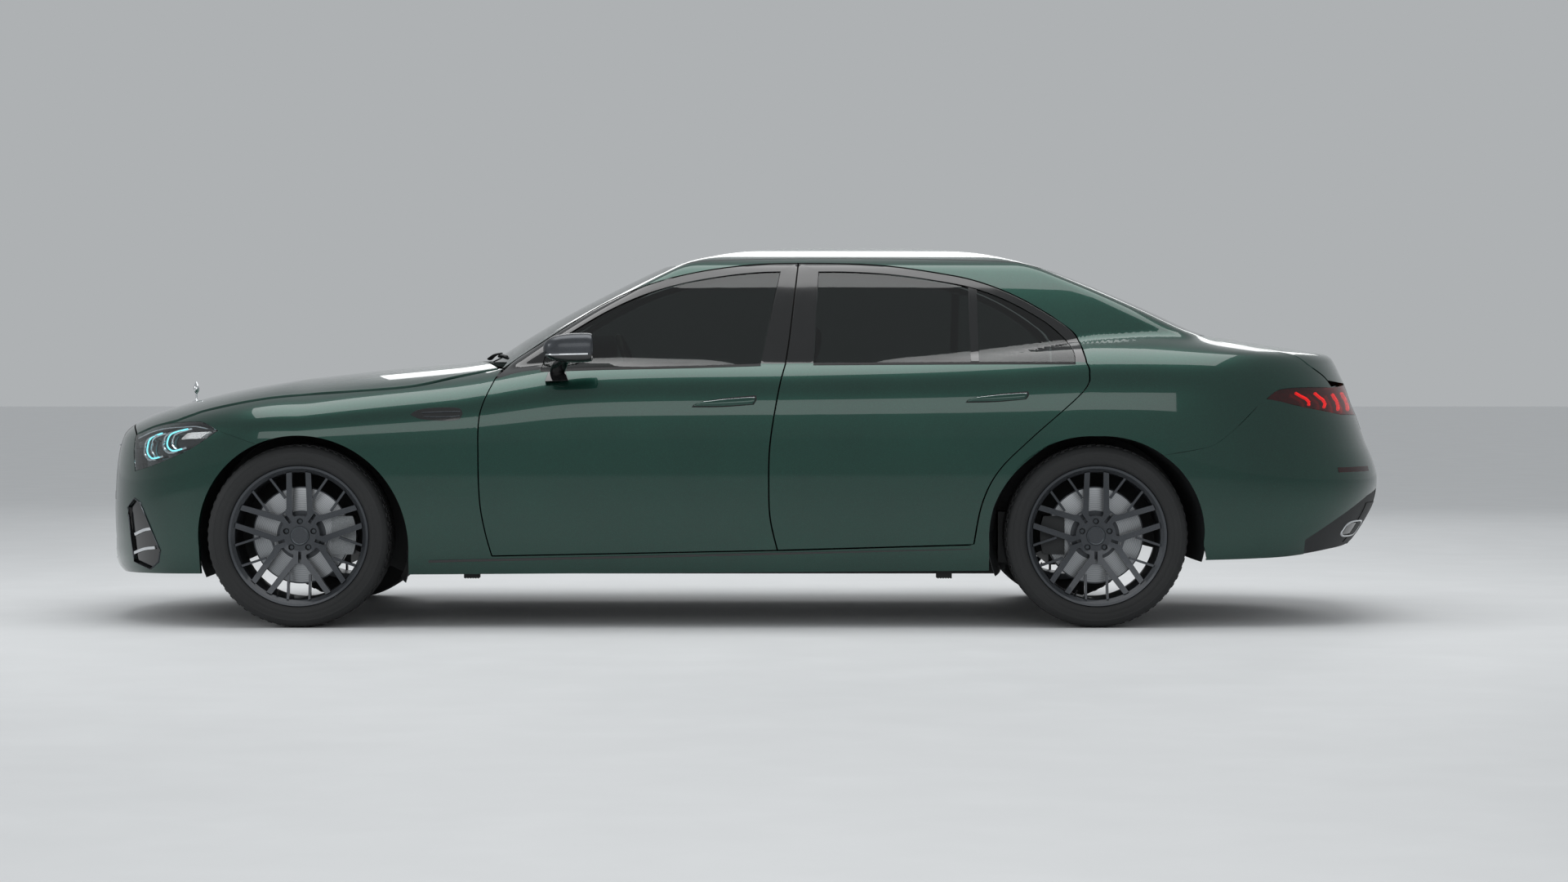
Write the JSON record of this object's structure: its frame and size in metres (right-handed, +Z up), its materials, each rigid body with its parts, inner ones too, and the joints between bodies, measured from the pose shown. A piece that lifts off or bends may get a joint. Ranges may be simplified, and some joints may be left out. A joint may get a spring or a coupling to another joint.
{
  "type": "luxury sedan",
  "caption": "Long four-door sedan with opening doors, bonnet and boot lid, steered front wheels and a full cabin.",
  "frame": {"origin": "on the ground below the middle of the body's length and width", "axes": "+X towards the tail, +Y towards the car's right side, +Z up"},
  "size_m": [5.1676, 2.12, 1.505],
  "materials": {
    "body_paint": "metallic clear coat",
    "underbody": "matt sealed",
    "black_trim": "gloss",
    "matt_plastic": "grained",
    "window_glass": "dark tinted",
    "lamp_lens": "clear",
    "tail_lens": "clear red",
    "grille_metal": "bright",
    "leather": "fine grained",
    "alloy": "graphite satin",
    "tyre_rubber": "matt",
    "cast_metal": "cast"
  },
  "bodies": {
    "body": {"body_side_left": "body_paint", "body_side_right": "body_paint", "fender_left": "body_paint", "fender_right": "body_paint", "front_bumper": "body_paint", "grille": "grille_metal", "headlamps": "lamp_lens", "tail_lamps": "tail_lens", "rear_bumper": "body_paint", "roof_panel": "body_paint", "windscreen": "window_glass", "rear_window": "window_glass", "cowl": "matt_plastic", "floor_pan": "underbody", "front_frame": "underbody", "rear_frame": "underbody", "engine_block": "cast_metal", "dashboard": "matt_plastic", "front_seats": "leather", "rear_bench": "leather", "front_axle": "underbody", "rear_axle": "underbody"},
    "bonnet": {"bonnet": "body_paint"},
    "boot_lid": {"boot_lid": "body_paint"},
    "steering_wheel": {"steering_wheel": "matt_plastic"},
    "door_front_left": {"door_front_left": "body_paint", "glass_front_left": "window_glass", "mirror_left": "black_trim"},
    "door_rear_left": {"door_rear_left": "body_paint", "glass_rear_left": "window_glass"},
    "knuckle_left": {"knuckle_left": "cast_metal"},
    "wheel_front_left": {"tyre_front_left": "tyre_rubber", "rim_front_left": "alloy"},
    "wheel_rear_left": {"tyre_rear_left": "tyre_rubber", "rim_rear_left": "alloy"},
    "door_front_right": {"door_front_right": "body_paint", "glass_front_right": "window_glass", "mirror_right": "black_trim"},
    "door_rear_right": {"door_rear_right": "body_paint", "glass_rear_right": "window_glass"},
    "knuckle_right": {"knuckle_right": "cast_metal"},
    "wheel_front_right": {"tyre_front_right": "tyre_rubber", "rim_front_right": "alloy"},
    "wheel_rear_right": {"tyre_rear_right": "tyre_rubber", "rim_rear_right": "alloy"}
  },
  "joints": [
    {"name": "steer_left", "type": "hinge", "parent": "body", "child": "knuckle_left", "pos_m": [-1.726, -0.76, 0.356], "axis": [0, 0, 1], "range_deg": [-30, 30]},
    {"name": "steer_right", "type": "hinge", "parent": "body", "child": "knuckle_right", "pos_m": [-1.726, 0.76, 0.356], "axis": [0, 0, 1], "range_deg": [-30, 30]},
    {"name": "spin_front_left", "type": "hinge", "parent": "knuckle_left", "child": "wheel_front_left", "pos_m": [-1.726, -0.83, 0.356], "axis": [0, -1, 0], "continuous": true},
    {"name": "spin_rear_left", "type": "hinge", "parent": "body", "child": "wheel_rear_left", "pos_m": [1.38, -0.83, 0.356], "axis": [0, -1, 0], "continuous": true},
    {"name": "spin_front_right", "type": "hinge", "parent": "knuckle_right", "child": "wheel_front_right", "pos_m": [-1.726, 0.83, 0.356], "axis": [0, -1, 0], "continuous": true},
    {"name": "spin_rear_right", "type": "hinge", "parent": "body", "child": "wheel_rear_right", "pos_m": [1.38, 0.83, 0.356], "axis": [0, -1, 0], "continuous": true},
    {"name": "steering_turn", "type": "hinge", "parent": "body", "child": "steering_wheel", "pos_m": [-0.435, -0.37, 0.975], "axis": [0.9135, 0, 0.4067], "range_deg": [-420, 420]},
    {"name": "door_front_left_swing", "type": "hinge", "parent": "body", "child": "door_front_left", "pos_m": [-0.984, -0.944, 0.62], "axis": [0, 0, -1], "range_deg": [0, 66]},
    {"name": "door_rear_left_swing", "type": "hinge", "parent": "body", "child": "door_rear_left", "pos_m": [0.165, -0.946, 0.62], "axis": [0, 0, -1], "range_deg": [0, 70]},
    {"name": "door_front_right_swing", "type": "hinge", "parent": "body", "child": "door_front_right", "pos_m": [-0.984, 0.944, 0.62], "axis": [0, 0, 1], "range_deg": [0, 66]},
    {"name": "door_rear_right_swing", "type": "hinge", "parent": "body", "child": "door_rear_right", "pos_m": [0.165, 0.946, 0.62], "axis": [0, 0, 1], "range_deg": [0, 70]},
    {"name": "bonnet_lift", "type": "hinge", "parent": "body", "child": "bonnet", "pos_m": [-0.975, 0, 1.003], "axis": [0, 1, 0], "range_deg": [0, 55]},
    {"name": "boot_lift", "type": "hinge", "parent": "body", "child": "boot_lid", "pos_m": [1.812, 0, 1.14], "axis": [0, -1, 0], "range_deg": [0, 75]}
  ],
  "couplings": [
    {"joint": "steer_right", "follows": "steer_left", "ratio": 1},
    {"joint": "steering_turn", "follows": "steer_left", "ratio": 14}
  ]
}
